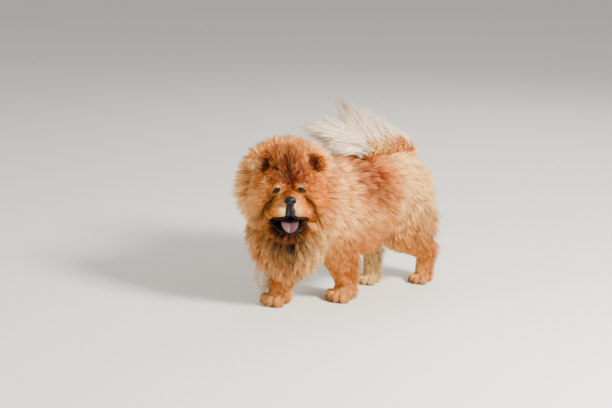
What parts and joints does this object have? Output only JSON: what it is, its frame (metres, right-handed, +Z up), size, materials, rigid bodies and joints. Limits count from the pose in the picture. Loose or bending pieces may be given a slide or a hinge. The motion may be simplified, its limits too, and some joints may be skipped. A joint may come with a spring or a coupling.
{
  "type": "chow chow",
  "caption": "Life-size still model of a chow chow dog walking with its head turned, mouth open and plumed tail over its back",
  "frame": {"origin": "middle of the model's box, on the floor that the four soles stand on", "axes": "-Y the way the dog walks, +X its left side, +Z up"},
  "size_m": [0.424, 0.8756, 0.7308],
  "materials": {
    "body_coat": "long soft orange fur",
    "mane_coat": "long golden fur with pale tips",
    "head_coat": "thick rust-orange fur",
    "jaw_coat": "dark brown chin fur and black lip",
    "ear_coat": "short rust fur",
    "leg_coat": "dense orange fur",
    "paw_coat": "short pale golden fur",
    "tail_coat": "long pinkish cream plume",
    "nose": "moist black leather",
    "eye": "wet dark brown",
    "tongue": "moist blue-mauve flesh"
  },
  "bodies": {
    "root": {"ear_left": "ear_coat", "ear_right": "ear_coat", "eye_left": "eye", "eye_right": "eye", "foreleg_left": "leg_coat", "foreleg_right": "leg_coat", "forepaw_left": "paw_coat", "forepaw_right": "paw_coat", "head": "head_coat", "hindleg_left": "leg_coat", "hindleg_right": "leg_coat", "hindpaw_left": "paw_coat", "hindpaw_right": "paw_coat", "jaw": "jaw_coat", "mane": "mane_coat", "nose": "nose", "tail": "tail_coat", "tongue": "tongue", "torso": "body_coat"}
  },
  "joints": []
}
